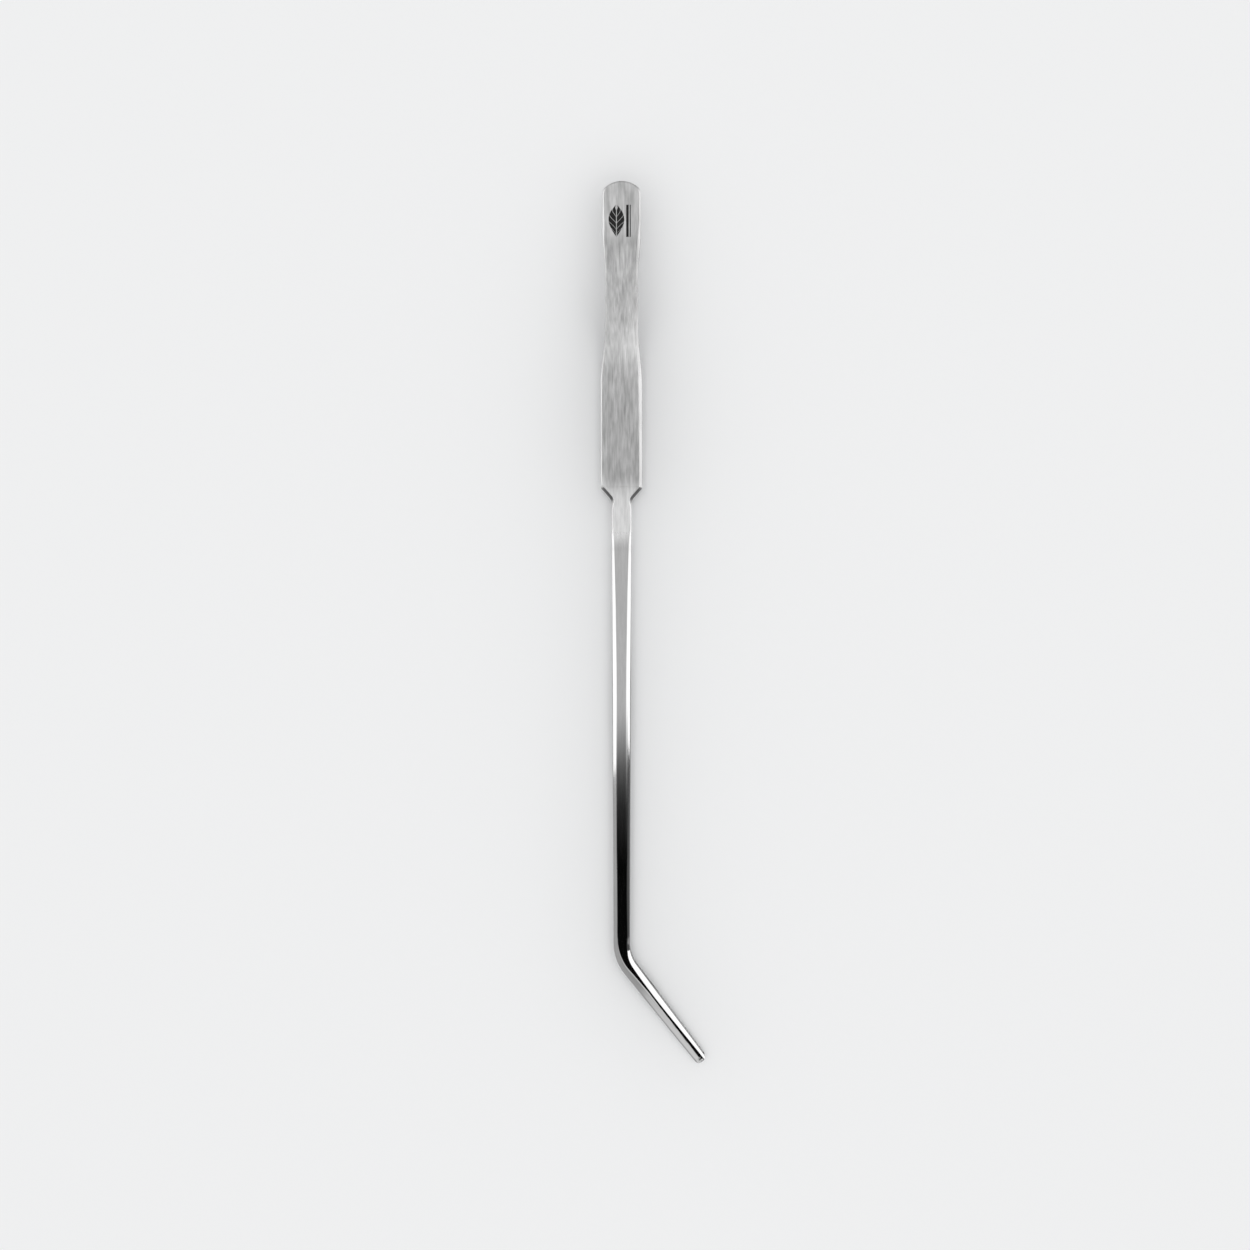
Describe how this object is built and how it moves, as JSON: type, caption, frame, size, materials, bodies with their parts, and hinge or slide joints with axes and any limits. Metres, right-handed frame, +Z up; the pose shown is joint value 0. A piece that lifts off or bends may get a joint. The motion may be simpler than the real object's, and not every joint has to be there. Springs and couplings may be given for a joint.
{
  "type": "aquascaping tweezers",
  "caption": "Long spring tweezers with welded heel, broad grips, slim stems and serrated tips bent sideways, for planting in an aquarium.",
  "frame": {"origin": "outer face of the rear arm's grip, at its middle: the face that the tool rests on when it lies down", "axes": "+Y along the stems towards the heel, the tips bend towards +X, +Z up from the rear arm to the front arm"},
  "size_m": [0.0308, 0.2622, 0.0194],
  "materials": {
    "handle_steel": "satin",
    "arm_steel": "satin",
    "weld_metal": "matte"
  },
  "bodies": {
    "heel": {"front_heel": "handle_steel", "rear_heel": "handle_steel", "weld_spots": "weld_metal"},
    "front_arm": {"front_arm": "arm_steel"},
    "rear_arm": {"rear_arm": "arm_steel"}
  },
  "joints": [
    {"name": "front_flex", "type": "hinge", "parent": "heel", "child": "front_arm", "pos_m": [0, 0.03863, 0.01452], "axis": [1, 0, 0], "range_deg": [0, 2.2], "stiffness_Nm_per_rad": 6.9},
    {"name": "rear_flex", "type": "hinge", "parent": "heel", "child": "rear_arm", "pos_m": [0, 0.03863, 0.00488], "axis": [-1, 0, 0], "range_deg": [0, 2.2], "stiffness_Nm_per_rad": 6.9}
  ]
}
